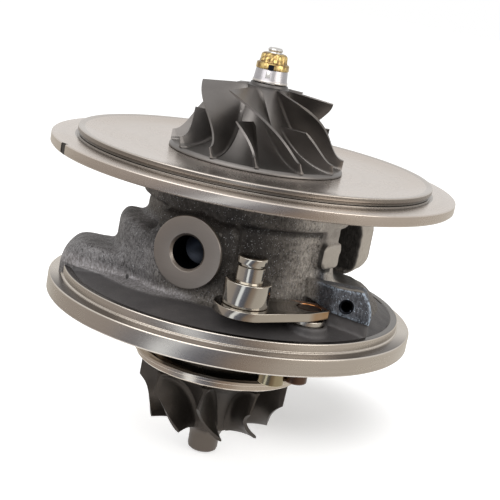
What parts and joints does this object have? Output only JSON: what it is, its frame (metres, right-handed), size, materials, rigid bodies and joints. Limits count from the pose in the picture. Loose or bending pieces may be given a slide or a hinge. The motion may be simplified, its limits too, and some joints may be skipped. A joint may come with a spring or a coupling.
{
  "type": "turbo cartridge",
  "caption": "Centre section of a variable-vane turbocharger: bearing housing with backplate, compressor and turbine wheels on one shaft, and the outside vane lever.",
  "frame": {"origin": "centre of the turbine flange's seat face, on the shaft axis", "axes": "+Z along the shaft towards the compressor wheel, -Y out of the oil inlet, +Y out of the oil drain"},
  "size_m": [0.139, 0.139, 0.1457],
  "materials": {
    "sand_cast_iron": "rough sand casting with machined rims",
    "turned_steel": "fine circular turning marks",
    "cast_wheel_alloy": "satin",
    "nickel_alloy": "dark investment casting",
    "pressed_stainless": "bright pressed sheet",
    "polished_steel": "polished",
    "yellow_zinc": "yellow zinc plate with a bright ground foot",
    "bearing_bronze": "plain bronze",
    "seal_rubber": "smooth black rubber",
    "heat_tinted_steel": "straw heat tint",
    "oiled_steel": "dark oiled steel"
  },
  "bodies": {
    "housing": {"bearing_housing": "sand_cast_iron", "compressor_backplate": "turned_steel", "backplate_o_ring": "seal_rubber", "backplate_screw_1": "oiled_steel", "backplate_screw_2": "oiled_steel", "backplate_screw_3": "oiled_steel", "backplate_screw_4": "oiled_steel", "journal_bearing": "bearing_bronze", "bearing_locating_pin": "polished_steel", "thrust_bearing": "bearing_bronze", "oil_deflector": "pressed_stainless", "compressor_piston_ring": "oiled_steel", "turbine_piston_ring": "oiled_steel", "heat_shield": "pressed_stainless", "crank_bush": "bearing_bronze"},
    "rotor": {"turbine_wheel": "nickel_alloy", "rotor_shaft": "polished_steel", "thrust_collar": "polished_steel", "oil_flinger": "polished_steel", "compressor_wheel": "cast_wheel_alloy", "compressor_nut": "yellow_zinc"},
    "lever": {"lever_arm": "polished_steel", "lever_pin": "polished_steel", "crank_shaft": "oiled_steel", "crank_arm": "oiled_steel", "crank_roller": "heat_tinted_steel"}
  },
  "joints": [
    {"name": "rotor_spin", "type": "hinge", "parent": "housing", "child": "rotor", "pos_m": [0, 0, 0], "axis": [0, 0, 1], "continuous": true},
    {"name": "lever_pivot", "type": "hinge", "parent": "housing", "child": "lever", "pos_m": [0.03835, -0.02786, 0], "axis": [0, 0, 1], "range_deg": [-4, 40]}
  ]
}
